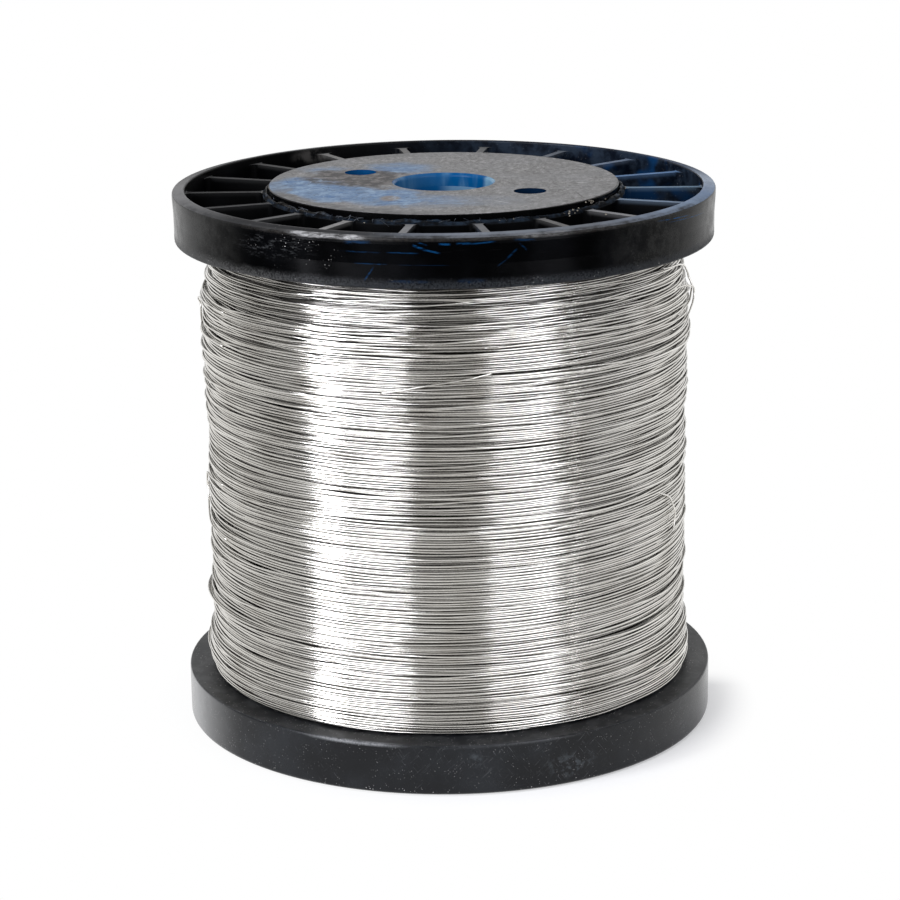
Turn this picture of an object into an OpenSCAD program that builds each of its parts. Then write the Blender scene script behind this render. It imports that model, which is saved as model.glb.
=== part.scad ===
// Plastic wire spool standing on its end, wound with stainless steel wire.
// Millimetres. +Z runs up the spool's axis. The origin is on that axis, at the face the spool stands on.

/* [Spool] */
// Diameter over the flanges
flange_d = 200; // [170:1:260]
// Height over the two flange rims
rim_span = 202.6; // [140:0.1:280]
// How far each hub disc stands out beyond its rim
disc_proud = 0.4; // [0.2:0.1:2.5]

/* [Flange] */
// Height of the rim, which is also the depth of the whole flange
rim_h = 18.8; // [14:0.1:30]
// Wall of the rim
rim_wall = 4.3; // [3:0.1:8]
// Thickness of the plate between rim and collar
plate_t = 4; // [2:0.5:8]
// Wall of the collar around the barrel
collar_wall = 4.5; // [4:0.1:8]
// Number of radial ribs
rib_count = 18; // [8:1:24]
// Thickness of a rib
rib_t = 2.8; // [1.5:0.1:5]
// How far the ribs stop below the rim
rib_drop = 2.7; // [0.5:0.1:4]
// Fillet where a rib meets the rim and the collar
rib_fillet = 2.5; // [1:0.1:4]
// Rounding of the rim's edges
edge_r = 1.5; // [0.5:0.1:1.8]
// How far the upper rim's worn top falls towards its outside
top_fall = 0.8; // [0:0.1:1.5]
// Height of the worn lip on the upper rim
lip_h = 2.4; // [1:0.1:4]
// Height over which the lip fades into the rim's side
lip_fade = 7; // [2:0.5:7]
// How far the worn lip stands out
lip_out = 0.4; // [0.2:0.05:1.5]

/* [Hub] */
// Diameter of the barrel under the wire
barrel_d = 125; // [100:1:150]
// Wall of the barrel
barrel_wall = 5; // [3:0.5:8]
// How far a hub disc reaches past the barrel, over the collar
disc_overlap = 2.3; // [1:0.1:2.8]
// Thickness of a hub disc
disc_t = 5; // [4:0.5:8]
// Diameter of the arbor bore
bore_d = 36; // [20:0.5:44]
// Rounding of the bore's mouth
bore_r = 1.4; // [0.5:0.1:2]
// Wall of the bore tube inside the barrel
bore_wall = 5; // [3:0.5:6]
// Diameter of the two drive holes
drive_d = 12; // [8:0.5:15]
// Diameter of the circle that the drive holes are on
drive_pcd = 76; // [72:1:92]
// Direction of the first drive hole
drive_angle = -34.5; // [-90:0.5:90]
// Number of webs between bore tube and barrel
web_count = 6; // [4:2:8]
// Thickness of a web
web_t = 3; // [2:0.5:6]

/* [Wire] */
// How far the wound wire stays below the flange's edge
wire_gap = 10; // [4:0.5:14]
// Extra height of the wire piled up near the lower flange
low_swell = 2.4; // [0:0.1:3]
// Extra height of the looser wire near the upper flange
top_swell = 0.9; // [0:0.1:2]
// How far the turns beside the lower flange lie below the ones above them
low_dip = 3.4; // [1:0.1:5]
// How far the turns beside the upper flange lie below the ones under them
top_dip = 5; // [1:0.1:8]

/* [Hidden] */
$fn = 96;

flange_r = flange_d / 2;
barrel_r = barrel_d / 2;
disc_r = barrel_r + disc_overlap;
collar_r = barrel_r + collar_wall;
rim_in = flange_r - rim_wall;
full_h = rim_span + 2 * disc_proud;
disc_seat = disc_t - disc_proud;
floor_z = rim_h - plate_t;
root_r = 1.5;
small_r = 0.75;
arc_steps = 4;
cut = 1;

disc_edge = 0.5;
bead_r = (collar_r - disc_r) / 2;
bead_sink = 1.4;
bead_z = disc_seat - bead_sink;

wire_low = disc_proud + rim_h;
wire_high = full_h - wire_low;
wire_r = flange_r - wire_gap;
low_rise = 2.2;
top_rise = 11;
swell_up = 5;
swell_width = 11;
loose_down = 28;
loose_width = 25;
profile_steps = 24;

// Points of an arc about (x, y), both ends included
function arc(x, y, r, from, to) =
    [for (i = [0 : arc_steps]) let (a = from + (to - from) * i / arc_steps)
        [x + r * cos(a), y + r * sin(a)]];

// Outer corner of the rim at its open end: rounded, or worn down and spread into the lip
function rim_corner(worn) = worn
    ? concat(
        arc(flange_r + lip_out - small_r, top_fall + small_r, small_r, -90, 0),
        [[flange_r + lip_out, top_fall + lip_h], [flange_r, top_fall + lip_h + lip_fade]])
    : arc(flange_r - edge_r, edge_r, edge_r, -90, 0);

// The flange without its ribs, with z running from the open end of the rim to the face beside the wire
module flange_ring(worn) {
    rotate_extrude()
        polygon(concat(
            [[barrel_r, disc_seat], [disc_r, disc_seat], [disc_r, bead_z]],
            arc(disc_r + bead_r, bead_z, bead_r, -165, 0),
            arc(collar_r + root_r, floor_z - root_r, root_r, 180, 90),
            arc(rim_in - root_r, floor_z - root_r, root_r, 90, 0),
            arc(rim_in + small_r, small_r, small_r, 180, 270),
            rim_corner(worn),
            arc(flange_r - small_r, rim_h - small_r, small_r, 0, 90),
            [[barrel_r, rim_h]]));
}

// One end of a rib in plan, flared by its fillets, with x running away from the wall that it meets
function rib_end(wall_x, way, side) =
    [for (i = [0 : arc_steps]) let (a = 90 * i / arc_steps)
        [wall_x + way * rib_fillet * (1 - cos(a)),
         side * (rib_t / 2 + rib_fillet * (1 - sin(a)))]];

function reversed(points) = [for (i = [len(points) - 1 : -1 : 0]) points[i]];

module rib() {
    half_flare = rib_t / 2 + rib_fillet;
    inner_x = sqrt(pow(collar_r, 2) - pow(half_flare, 2));
    outer_x = sqrt(pow(rim_in, 2) - pow(half_flare, 2));
    translate([0, 0, rib_drop])
        linear_extrude(floor_z + cut - rib_drop)
            polygon(concat(
                [[inner_x - cut, -half_flare]],
                rib_end(inner_x, 1, -1),
                reversed(rib_end(outer_x, -1, -1)),
                [[outer_x + cut, -half_flare], [outer_x + cut, half_flare]],
                rib_end(outer_x, -1, 1),
                reversed(rib_end(inner_x, 1, 1)),
                [[inner_x - cut, half_flare]]));
}

module flange(worn) {
    union() {
        flange_ring(worn);
        for (i = [0 : rib_count - 1])
            rotate([0, 0, i * 360 / rib_count])
                rib();
    }
}

// Stands a shape that was drawn upwards from the floor upside down at the top of the spool
module at_top() {
    translate([0, 0, full_h])
        mirror([0, 0, 1])
            children();
}

module hub_disc() {
    difference() {
        rotate_extrude()
            polygon(concat(
                [[bore_d / 2, disc_t]],
                arc(bore_d / 2 + bore_r, bore_r, bore_r, 180, 270),
                [[disc_r - disc_edge, 0], [disc_r, disc_edge], [disc_r, disc_t]]));
        for (turn = [0, 180])
            rotate([0, 0, drive_angle + turn])
                translate([drive_pcd / 2, 0, -cut])
                    cylinder(d = drive_d, h = disc_t + 2 * cut);
    }
}

module lower_flange() {
    color("#2b2d30")
        translate([0, 0, disc_proud])
            flange(worn = false);
}

module upper_flange() {
    color("#2b2d30")
        at_top()
            translate([0, 0, disc_proud])
                flange(worn = true);
}

module lower_hub_disc() {
    color("#53565a")
        hub_disc();
}

module upper_hub_disc() {
    color("#53565a")
        at_top()
            hub_disc();
}

// Drum, bore tube and the webs between them, closed at both ends by the hub discs
module barrel() {
    drum_in = barrel_r - barrel_wall;
    tube_r = bore_d / 2 + bore_wall;
    length = full_h - 2 * disc_t;
    color("#232528")
        translate([0, 0, disc_t])
            difference() {
                union() {
                    difference() {
                        cylinder(r = barrel_r, h = length);
                        translate([0, 0, -cut])
                            cylinder(r = drum_in, h = length + 2 * cut);
                    }
                    cylinder(r = tube_r, h = length);
                    for (i = [0 : web_count - 1])
                        rotate([0, 0, drive_angle + (i + 0.5) * 360 / web_count])
                            translate([bore_d / 2 + cut, -web_t / 2, 0])
                                cube([drum_in - bore_d / 2, web_t, length]);
                }
                translate([0, 0, -cut])
                    cylinder(d = bore_d, h = length + 2 * cut);
            }
}

// Surface of the wound wire at a height: piled up low down, loose near the top, dipping at both ends
function wire_surface(z) =
    let (
        low = z - wire_low,
        high = wire_high - z,
        pile = low_swell * exp(-pow((low - swell_up) / swell_width, 2)),
        loose = top_swell * exp(-pow((high - loose_down) / loose_width, 2)),
        dip = low_dip * exp(-pow(low / low_rise, 2)) + top_dip * exp(-pow(high / top_rise, 2)))
    wire_r + pile + loose - dip;

// Heights crowd together towards both ends, where the surface turns in
function wire_z(i) =
    wire_low + (wire_high - wire_low) * (1 - cos(180 * i / profile_steps)) / 2;

module wire_coil() {
    color("#b9b7b0")
        rotate_extrude()
            polygon(concat(
                [[barrel_r, wire_low]],
                [for (i = [0 : profile_steps]) [wire_surface(wire_z(i)), wire_z(i)]],
                [[barrel_r, wire_high]]));
}

lower_flange();
upper_flange();
lower_hub_disc();
upper_hub_disc();
barrel();
wire_coil();
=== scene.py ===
import math

import bpy
import numpy as np
from mathutils import Matrix, Vector


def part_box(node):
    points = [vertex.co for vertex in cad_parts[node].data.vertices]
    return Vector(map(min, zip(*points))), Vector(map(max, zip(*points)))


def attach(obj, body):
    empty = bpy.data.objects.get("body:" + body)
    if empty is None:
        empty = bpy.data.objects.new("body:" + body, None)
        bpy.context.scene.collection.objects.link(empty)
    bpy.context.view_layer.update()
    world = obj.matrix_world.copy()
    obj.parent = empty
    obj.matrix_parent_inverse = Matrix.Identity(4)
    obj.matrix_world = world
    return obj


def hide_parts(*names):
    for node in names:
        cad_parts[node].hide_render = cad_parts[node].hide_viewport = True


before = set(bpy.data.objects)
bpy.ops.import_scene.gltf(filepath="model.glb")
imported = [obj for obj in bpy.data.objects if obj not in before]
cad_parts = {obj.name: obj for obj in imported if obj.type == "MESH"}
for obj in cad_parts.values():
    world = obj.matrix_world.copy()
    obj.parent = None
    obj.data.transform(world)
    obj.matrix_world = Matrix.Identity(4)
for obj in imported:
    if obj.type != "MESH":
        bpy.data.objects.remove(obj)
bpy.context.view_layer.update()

MM = 0.001


# Sizes read from the frame
def outer_radius(node):
    low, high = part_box(node)
    return (high.x - low.x) / 2 / MM


def level(node, end):
    """Height of a node's low end, 0, or its high end, 1."""
    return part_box(node)[end].z / MM


FLANGE_R = outer_radius("lower_flange")
DISC_R = outer_radius("upper_hub_disc")
BARREL_R = outer_radius("barrel")
RIM_LOW = level("lower_flange", 0)
RIM_TOP = level("upper_flange", 1)
WIRE_LOW = level("lower_flange", 1)
WIRE_HIGH = level("upper_flange", 0)
DISC_TOP = level("upper_hub_disc", 1)

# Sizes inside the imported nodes
DISC_PROUD = 0.4
RIM_IN_R = 95.7
COLLAR_R = 67
RIM_EDGE_Z = RIM_TOP - 0.8
RIB_TOP_Z = RIM_TOP - 2.7


# Camera, at the photograph's viewing angle. The studio is in metres.
CAMERA_DISTANCE = 1.0387
CAMERA_HEIGHT = 0.38959
CAMERA_PITCH = math.radians(15.573)
CAMERA_PAN = math.radians(0.065)
CAMERA_ROLL = math.radians(-0.679)
CAMERA_LENS_MM = 113.495
CAMERA_SENSOR_MM = 36
CAMERA_NEAR = 0.05
CAMERA_FAR = 50


def add_camera():
    data = bpy.data.cameras.new("camera")
    data.sensor_width = CAMERA_SENSOR_MM
    data.lens = CAMERA_LENS_MM
    data.clip_start = CAMERA_NEAR
    data.clip_end = CAMERA_FAR
    camera = bpy.data.objects.new("camera", data)
    bpy.context.scene.collection.objects.link(camera)
    pan = Matrix.Rotation(-CAMERA_PAN, 4, "Z")
    pitch = Matrix.Rotation(math.radians(90) - CAMERA_PITCH, 4, "X")
    roll = Matrix.Rotation(CAMERA_ROLL, 4, "Z")
    camera.matrix_world = Matrix.Translation((0, -CAMERA_DISTANCE, CAMERA_HEIGHT)) @ pan @ pitch @ roll
    bpy.context.scene.camera = camera


# Small helpers for building node materials
class Graph:
    """Builds a node tree; sockets are passed on as values, and colours as (red, green, blue)."""

    def __init__(self, tree):
        self.tree = tree
        tree.nodes.clear()

    def node(self, kind, inputs=(), **settings):
        node = self.tree.nodes.new(kind)
        for name, value in settings.items():
            setattr(node, name, value)
        for key, value in dict(inputs).items():
            if isinstance(value, bpy.types.NodeSocket):
                self.tree.links.new(value, node.inputs[key])
            else:
                node.inputs[key].default_value = value
        return node

    def math(self, operation, a, b=0.0, clamp=False):
        return self.node("ShaderNodeMath", {0: a, 1: b}, operation=operation, use_clamp=clamp).outputs[0]

    def plus(self, a, b):
        return self.math("ADD", a, b)

    def minus(self, a, b):
        return self.math("SUBTRACT", a, b)

    def both(self, value, *others):
        """The product."""
        for other in others:
            value = self.math("MULTIPLY", value, other)
        return value

    def less(self, a, b):
        """a where b is 0, and 0 where b is 1."""
        return self.both(a, self.minus(1.0, b))

    def total(self, value, *others):
        """The sum, clamped to 0..1."""
        for other in others:
            value = self.math("ADD", value, other, clamp=True)
        return value

    def span(self, value, low, high, to_low=0.0, to_high=1.0):
        """value mapped from low..high to to_low..to_high, smoothly and clamped."""
        inputs = {"Value": value, "From Min": low, "From Max": high, "To Min": to_low, "To Max": to_high}
        return self.node("ShaderNodeMapRange", inputs, interpolation_type="SMOOTHSTEP").outputs["Result"]

    def span_mm(self, value, low, high, to_low=0.0, to_high=1.0):
        return self.span(value, low * MM, high * MM, to_low, to_high)

    def mix(self, factor, a, b):
        a, b = [c if isinstance(c, bpy.types.NodeSocket) else (*c, 1) for c in (a, b)]
        return self.node("ShaderNodeMix", {0: factor, 6: a, 7: b}, data_type="RGBA").outputs[2]

    def vector(self, x, y, z):
        return self.node("ShaderNodeCombineXYZ", {0: x, 1: y, 2: z}).outputs[0]

    def parts(self, vector):
        return self.node("ShaderNodeSeparateXYZ", {0: vector}).outputs

    def vector_math(self, operation, a, b=(0, 0, 0), output=0):
        return self.node("ShaderNodeVectorMath", {0: a, 1: b}, operation=operation).outputs[output]


class Surface(Graph):
    """A material's graph, with measures of the place that it shades and the colour laid on it so far. up is 1
    on faces that look up, and side is 1 on the outside of the flanges."""

    def __init__(self, name):
        self.material = bpy.data.materials.new(name)
        self.material.use_nodes = True
        super().__init__(self.material.node_tree)
        self.place = self.node("ShaderNodeTexCoord").outputs["Object"]
        self.x, self.y, self.height = self.parts(self.place)
        self.radius = self.math("SQRT", self.plus(self.both(self.x, self.x), self.both(self.y, self.y)))
        self.slope = self.parts(self.node("ShaderNodeNewGeometry").outputs["Normal"])[2]
        self.up = self.span(self.slope, 0.6, 0.9)
        # The angle and the distance round the flange from its front, + to the right
        self.turn = self.math("ARCTAN2", self.x, self.both(self.y, -1.0))
        self.around = self.both(self.turn, FLANGE_R * MM)
        self.side = self.less(self.span_mm(self.radius, FLANGE_R - 0.5, FLANGE_R - 0.1), self.up)
        self.color = None

    def paint(self, color, *masks):
        """Lays a colour over the surface where all the masks are 1."""
        self.color = self.mix(self.both(*masks), self.color, color)

    def stretched(self, stretch, vector=None):
        vector = self.place if vector is None else vector
        return self.node("ShaderNodeMapping", {"Vector": vector, "Scale": stretch}).outputs["Vector"]

    def noise(self, scale, detail=3.0, roughness=0.5, stretch=None):
        """Noise by the metre. stretch squeezes it along each axis."""
        vector = self.stretched(stretch) if stretch else self.place
        inputs = {"Vector": vector, "Scale": scale, "Detail": detail, "Roughness": roughness}
        return self.node("ShaderNodeTexNoise", inputs).outputs["Fac"]

    def specks(self, scale, size):
        """1 inside small round spots, 0 between them."""
        spot = self.node("ShaderNodeTexVoronoi", {"Vector": self.place, "Scale": scale}).outputs["Distance"]
        return self.span(spot, size, size * 0.6)

    def level_scratches(self, length, thickness, amount):
        """Fine level lines, the more of them the larger the amount."""
        lines = self.noise(1.0, 2.0, 0.6, [1 / (v * MM) for v in (length, length, thickness)])
        return self.span(lines, 0.72 - amount, 0.80 - amount)

    def slanted_scratches(self, turn, length, thickness, amount):
        size = [v * MM for v in (thickness, length, length)]
        mapping = self.node("ShaderNodeMapping", {"Vector": self.place, "Rotation": turn, "Scale": size},
                            vector_type="TEXTURE")
        inputs = {"Vector": mapping.outputs["Vector"], "Scale": 1.0, "Detail": 2.0, "Roughness": 0.6}
        lines = self.node("ShaderNodeTexNoise", inputs).outputs["Fac"]
        return self.span(lines, 0.70 - amount, 0.78 - amount)

    def spots(self, *spots, vector=None):
        """1 inside ellipsoids. Each is its centre, its size, the part of it that fades out and its strength."""
        found = []
        for centre, size, soft, strength in spots:
            centre, size = [[v * MM for v in lengths] for lengths in (centre, size)]
            moved = self.vector_math("SUBTRACT", self.place if vector is None else vector, centre)
            length = self.vector_math("LENGTH", self.vector_math("DIVIDE", moved, size), output="Value")
            found.append(self.both(self.span(length, 1.0, 1.0 - soft), strength))
        return self.total(*found)

    def strokes(self, along, up, strokes):
        """1 on thin straight scratches. Each is its start and end, half its width and its strength."""
        found = []
        for start, end, width, strength in strokes:
            x0, y0, x1, y1, width = [v * MM for v in (*start, *end, width)]
            length = math.hypot(x1 - x0, y1 - y0)
            run, rise = (x1 - x0) / length, (y1 - y0) / length
            x, y = self.minus(along, x0), self.minus(up, y0)
            forward = self.plus(self.both(x, run), self.both(y, rise))
            off = self.math("ABSOLUTE", self.minus(self.both(y, run), self.both(x, rise)))
            ends = self.both(self.span(forward, 0, length * 0.3), self.span(forward, length, length * 0.7))
            found.append(self.both(ends, self.span(off, width, width * 0.3), strength))
        return self.total(*found)

    def shades(self, stops):
        """Colours that change round the spool. stops are (degrees from the front, + to the right; colour)."""
        ramp = self.node("ShaderNodeValToRGB", {0: self.plus(self.math("DIVIDE", self.turn, math.tau), 0.5)})
        elements = ramp.color_ramp.elements
        elements[0].position = 0.0
        elements[1].position = 1.0
        for degrees, color in stops[1:-1]:
            elements.new(degrees / 360 + 0.5)
        for element, (degrees, color) in zip(elements, stops):
            element.color = (*color, 1)
        return ramp.outputs[0]

    def finished(self, roughness, dents=None, strength=0.5, depth=0.1, **settings):
        """The material. settings are uniform values, named as the shader's sockets with _ for each space."""
        inputs = {"Base Color": self.color, "Roughness": roughness}
        inputs.update({name.replace("_", " "): value for name, value in settings.items()})
        if dents is not None:
            bump = self.node("ShaderNodeBump", {"Height": dents, "Distance": depth * MM, "Strength": strength})
            inputs["Normal"] = bump.outputs["Normal"]
        shader = self.node("ShaderNodeBsdfPrincipled", inputs)
        self.node("ShaderNodeOutputMaterial", {"Surface": shader.outputs[0]})
        return self.material


# Studio: soft lamps, a room that is white behind the spool and dim before it, and a sheet of white paper
WHITE = (1, 1, 1, 1)
LAMP_DISTANCE = 1.3
LAMP_LENGTH = 1.5
DAYLIGHT = (0.97, 0.985, 1.06)
# Name, direction, width and lean in degrees, and radiance. Direction 0 is the camera's side, + is right.
LAMPS = (
    ("key_lamp", -51.7, 15.8, 14, 8.0),
    ("left_lamp", -29.5, 28.4, 7, 3.2),
    ("right_lamp", 35.5, 34, -2, 2.0),
    ("right_bright_lamp", 42, 13, -10, 0.9),
    ("right_strip_lamp", 57, 0.8, -13, 6.0),
    ("side_lamp", 92, 50, 0, 0.25),
)


def add_lamp(name, direction, width, lean, radiance):
    """An upright soft lamp that stands level with the floor, faces the spool and leans outwards at its top."""
    turn = math.radians(direction)
    span = 2 * LAMP_DISTANCE * math.tan(math.radians(width) / 2)
    data = bpy.data.lights.new(name, "AREA")
    data.shape = "RECTANGLE"
    data.size = span
    data.size_y = LAMP_LENGTH
    data.color = DAYLIGHT
    data.energy = 4 * radiance * span * LAMP_LENGTH
    lamp = bpy.data.objects.new(name, data)
    bpy.context.scene.collection.objects.link(lamp)
    lamp.rotation_euler = (math.radians(90), math.radians(-lean), turn)
    foot = Vector((LAMP_DISTANCE * math.sin(turn), -LAMP_DISTANCE * math.cos(turn), 0))
    lamp.location = foot + lamp.rotation_euler.to_matrix() @ Vector((0, LAMP_LENGTH / 2, 0))
    lamp.visible_camera = False


# The room's light on rough surfaces, and what gloss shows of it: dark below the horizon, white behind the spool
ROOM_SOFT = 0.5
ROOM_DIM = 0.5
ROOM_DARK = 0.03
HORIZON = (-0.22, 0.02)
BACKDROP = (-0.15, 0.95)


def mirrored(graph, path):
    """1 for what gloss or glass shows."""
    return graph.math("MAXIMUM", path["Is Glossy Ray"], path["Is Transmission Ray"])


def add_world():
    world = bpy.data.worlds.new("studio")
    bpy.context.scene.world = world
    world.use_nodes = True
    world.cycles.sampling_method = "NONE"
    graph = Graph(world.node_tree)
    path = graph.node("ShaderNodeLightPath").outputs
    parts = graph.parts(graph.node("ShaderNodeTexCoord").outputs["Generated"])
    room = graph.span(parts[2], *HORIZON, ROOM_DARK, ROOM_DIM)
    strength = graph.plus(room, graph.less(graph.span(parts[1], *BACKDROP), room))
    plain, gloss, seen = [graph.node("ShaderNodeBackground", {"Color": WHITE, "Strength": s}).outputs[0]
                          for s in (ROOM_SOFT, strength, 1.0)]
    lit = graph.node("ShaderNodeMixShader", {0: mirrored(graph, path), 1: plain, 2: gloss}).outputs[0]
    shown = graph.node("ShaderNodeMixShader", {0: path["Is Camera Ray"], 1: lit, 2: seen}).outputs[0]
    graph.node("ShaderNodeOutputWorld", {"Surface": shown})


PAPER = (0.95, 0.95, 0.95, 1)
PAPER_REACH = 0.55
PAPER_BACK = 3.5
PAPER_HALF_WIDTH = 1.4
PAPER_CORNERS = 33
# How much of the paper shows as plain white: less close to the spool on its right, where its shadow falls.
# The shadow's reach and depth are in millimetres.
SHINE_LEFT = 0.93
SHINE_RIGHT = 0.25
SHADOW_REACH = (100, 120)
SHADOW_DEPTH = (0, 30)


def add_floor():
    """A sheet of white paper, round in front, that reaches far behind the spool."""
    turns = np.linspace(math.pi, math.tau, PAPER_CORNERS)
    front = [(PAPER_REACH * math.cos(a), PAPER_REACH * math.sin(a), 0) for a in turns]
    outline = front + [(PAPER_HALF_WIDTH, PAPER_BACK, 0), (-PAPER_HALF_WIDTH, PAPER_BACK, 0)]
    mesh = bpy.data.meshes.new("floor")
    mesh.from_pydata(outline, [], [tuple(range(len(outline)))])
    floor = bpy.data.objects.new("floor", mesh)
    bpy.context.scene.collection.objects.link(floor)
    sheet = Surface("floor_white")
    path = sheet.node("ShaderNodeLightPath").outputs
    paper = sheet.node("ShaderNodeBsdfDiffuse", {"Color": PAPER}).outputs[0]
    glow = sheet.node("ShaderNodeEmission", {"Color": WHITE, "Strength": 1.0}).outputs[0]
    seen = sheet.math("MAXIMUM", path["Is Camera Ray"], mirrored(sheet, path))
    near = sheet.math("MAXIMUM", sheet.span_mm(sheet.x, -FLANGE_R, FLANGE_R, SHINE_LEFT, SHINE_RIGHT),
                      sheet.span_mm(sheet.y, *SHADOW_DEPTH, 0.0, SHINE_LEFT))
    share = sheet.both(seen, sheet.span_mm(sheet.radius, *SHADOW_REACH, near, 1.0))
    shader = sheet.node("ShaderNodeMixShader", {0: share, 1: paper, 2: glow}).outputs[0]
    sheet.node("ShaderNodeOutputMaterial", {"Surface": shader})
    mesh.materials.append(sheet.material)


# Meshes from arrays, in millimetres
def mesh_piece(name, points, faces, material, slot):
    """A smooth-shaded piece that rides on the spool. faces is a list of arrays, each of one face size."""
    mesh = bpy.data.meshes.new(name)
    corners = [face for part in faces for face in part.tolist()]
    mesh.from_pydata((points * MM).tolist(), [], corners, shade_flat=False)
    mesh.validate()
    mesh.materials.append(material)
    piece = bpy.data.objects.new(name, mesh)
    bpy.context.scene.collection.objects.link(piece)
    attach(piece, "root")
    return piece


def around_axis(radius, angle, z):
    return np.stack([radius * np.cos(angle), radius * np.sin(angle), z], axis=-1)


def ring_quads(steps, sides):
    """Faces between the outlines of a ring: steps of them round it, each with that many sides."""
    here = np.arange(steps)[:, None] * sides
    after = ((np.arange(steps) + 1) % steps)[:, None] * sides
    low = np.arange(sides)[None, :]
    high = (low + 1) % sides
    return np.stack([here + low, after + low, after + high, here + high], axis=-1).reshape(-1, 4)


TUBE_SIDES = 6


def tube_arrays(path, radius, sides=TUBE_SIDES):
    """Points and faces of a closed round tube along path. Its rings start at the side away from the axis."""
    ahead = np.gradient(path, axis=0)
    ahead /= np.linalg.norm(ahead, axis=1)[:, None]
    out = path * [1, 1, 0]
    out /= np.linalg.norm(out, axis=1)[:, None]
    side = np.cross(ahead, out)
    side /= np.linalg.norm(side, axis=1)[:, None]
    out = np.cross(side, ahead)
    turn = np.arange(sides) * math.tau / sides
    ring = np.cos(turn)[None, :, None] * out[:, None, :] + np.sin(turn)[None, :, None] * side[:, None, :]
    points = (path[:, None, :] + radius * ring).reshape(-1, 3)
    first = np.arange(len(path) - 1)[:, None] * sides
    here = np.arange(sides)[None, :]
    after = (here + 1) % sides
    quads = np.stack([first + here, first + after, first + sides + after, first + sides + here], axis=-1)
    start_cap = np.arange(sides)[None, ::-1]
    end_cap = (len(path) - 1) * sides + np.arange(sides)[None, :]
    return points, quads.reshape(-1, 4), np.concatenate([start_cap, end_cap])


# The winding, laid turn by turn on a height map of what already lies there
WIRE_RADIUS = 0.4
STATIONS = 120
CELL = 0.1
# Distance between the turns of each shown layer, and how far a layer lies over the one below
SHOWN_LAYERS = (0.88, 0.98, 1.12)
LAYER_RISE = 0.77
FLANGE_GAP = 0.45
SEAM = math.pi / 2
# How far a wire may slip towards a groove, the cost of each millimetre, and over how many stations it is judged
SLIPS = np.array([-0.4, -0.2, 0.0, 0.2, 0.4])
SLIP_COST = 0.2
JUDGED = np.ones(7) / 7
EASED = np.ones(9) / 9
TAUT_PASSES = 6
TAUT_REACHES = (12, 8, 5, 3, 2, 1)
BEND = np.array([1, 4, 6, 4, 1]) / 16
# How the turns wander up and down: those side by side together, over turns and stations, and each by itself
SHARED_REACH = (6, 22)
SHARED_WANDER = 0.36
SINGLE_WANDERS = ((18, 0.22), (6, 0.16), (3, 0.09))
SLACK_REACH = 9
SLACK = 0.06
# The wire lies looser near the top
LOOSE_EXTRA = 0.9
LOOSE_WIDTH = 45
JOINT_STATIONS = 10


def wound_profile(z):
    """Radius of the outermost wire at height z: piled up low down, loose near the top, dipping at both ends."""
    low = z - WIRE_LOW
    high = WIRE_HIGH - z
    pile = 2.4 * np.exp(-((low - 5) / 11) ** 2)
    loose = 0.5 * np.exp(-((high - 32) / 24) ** 2)
    dip = 3.4 * np.exp(-(low / 2.2) ** 2) + 5 * np.exp(-(high / 12.5) ** 2)
    return FLANGE_R - 10 + pile + loose - dip


def buried_profile(z):
    return wound_profile(z) - WIRE_RADIUS - LAYER_RISE * len(SHOWN_LAYERS)


def smooth_field(rng, rows, columns, row_scale, column_scale):
    """A random field of unit spread, without seams, smoothed over that many rows and columns."""
    field = np.fft.fft2(rng.normal(size=(rows, columns)))
    down = np.fft.fftfreq(rows)[:, None] * row_scale
    across = np.fft.fftfreq(columns)[None, :] * column_scale
    field = np.real(np.fft.ifft2(field * np.exp(-(down ** 2 + across ** 2) * 2 * math.pi)))
    return field / field.std()


def smoothed(values, kernel):
    """values of the stations round the barrel, each blended with its neighbours."""
    reach = len(kernel) // 2
    return np.convolve(np.concatenate([values[-reach:], values, values[:reach]]), kernel, "valid")


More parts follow.
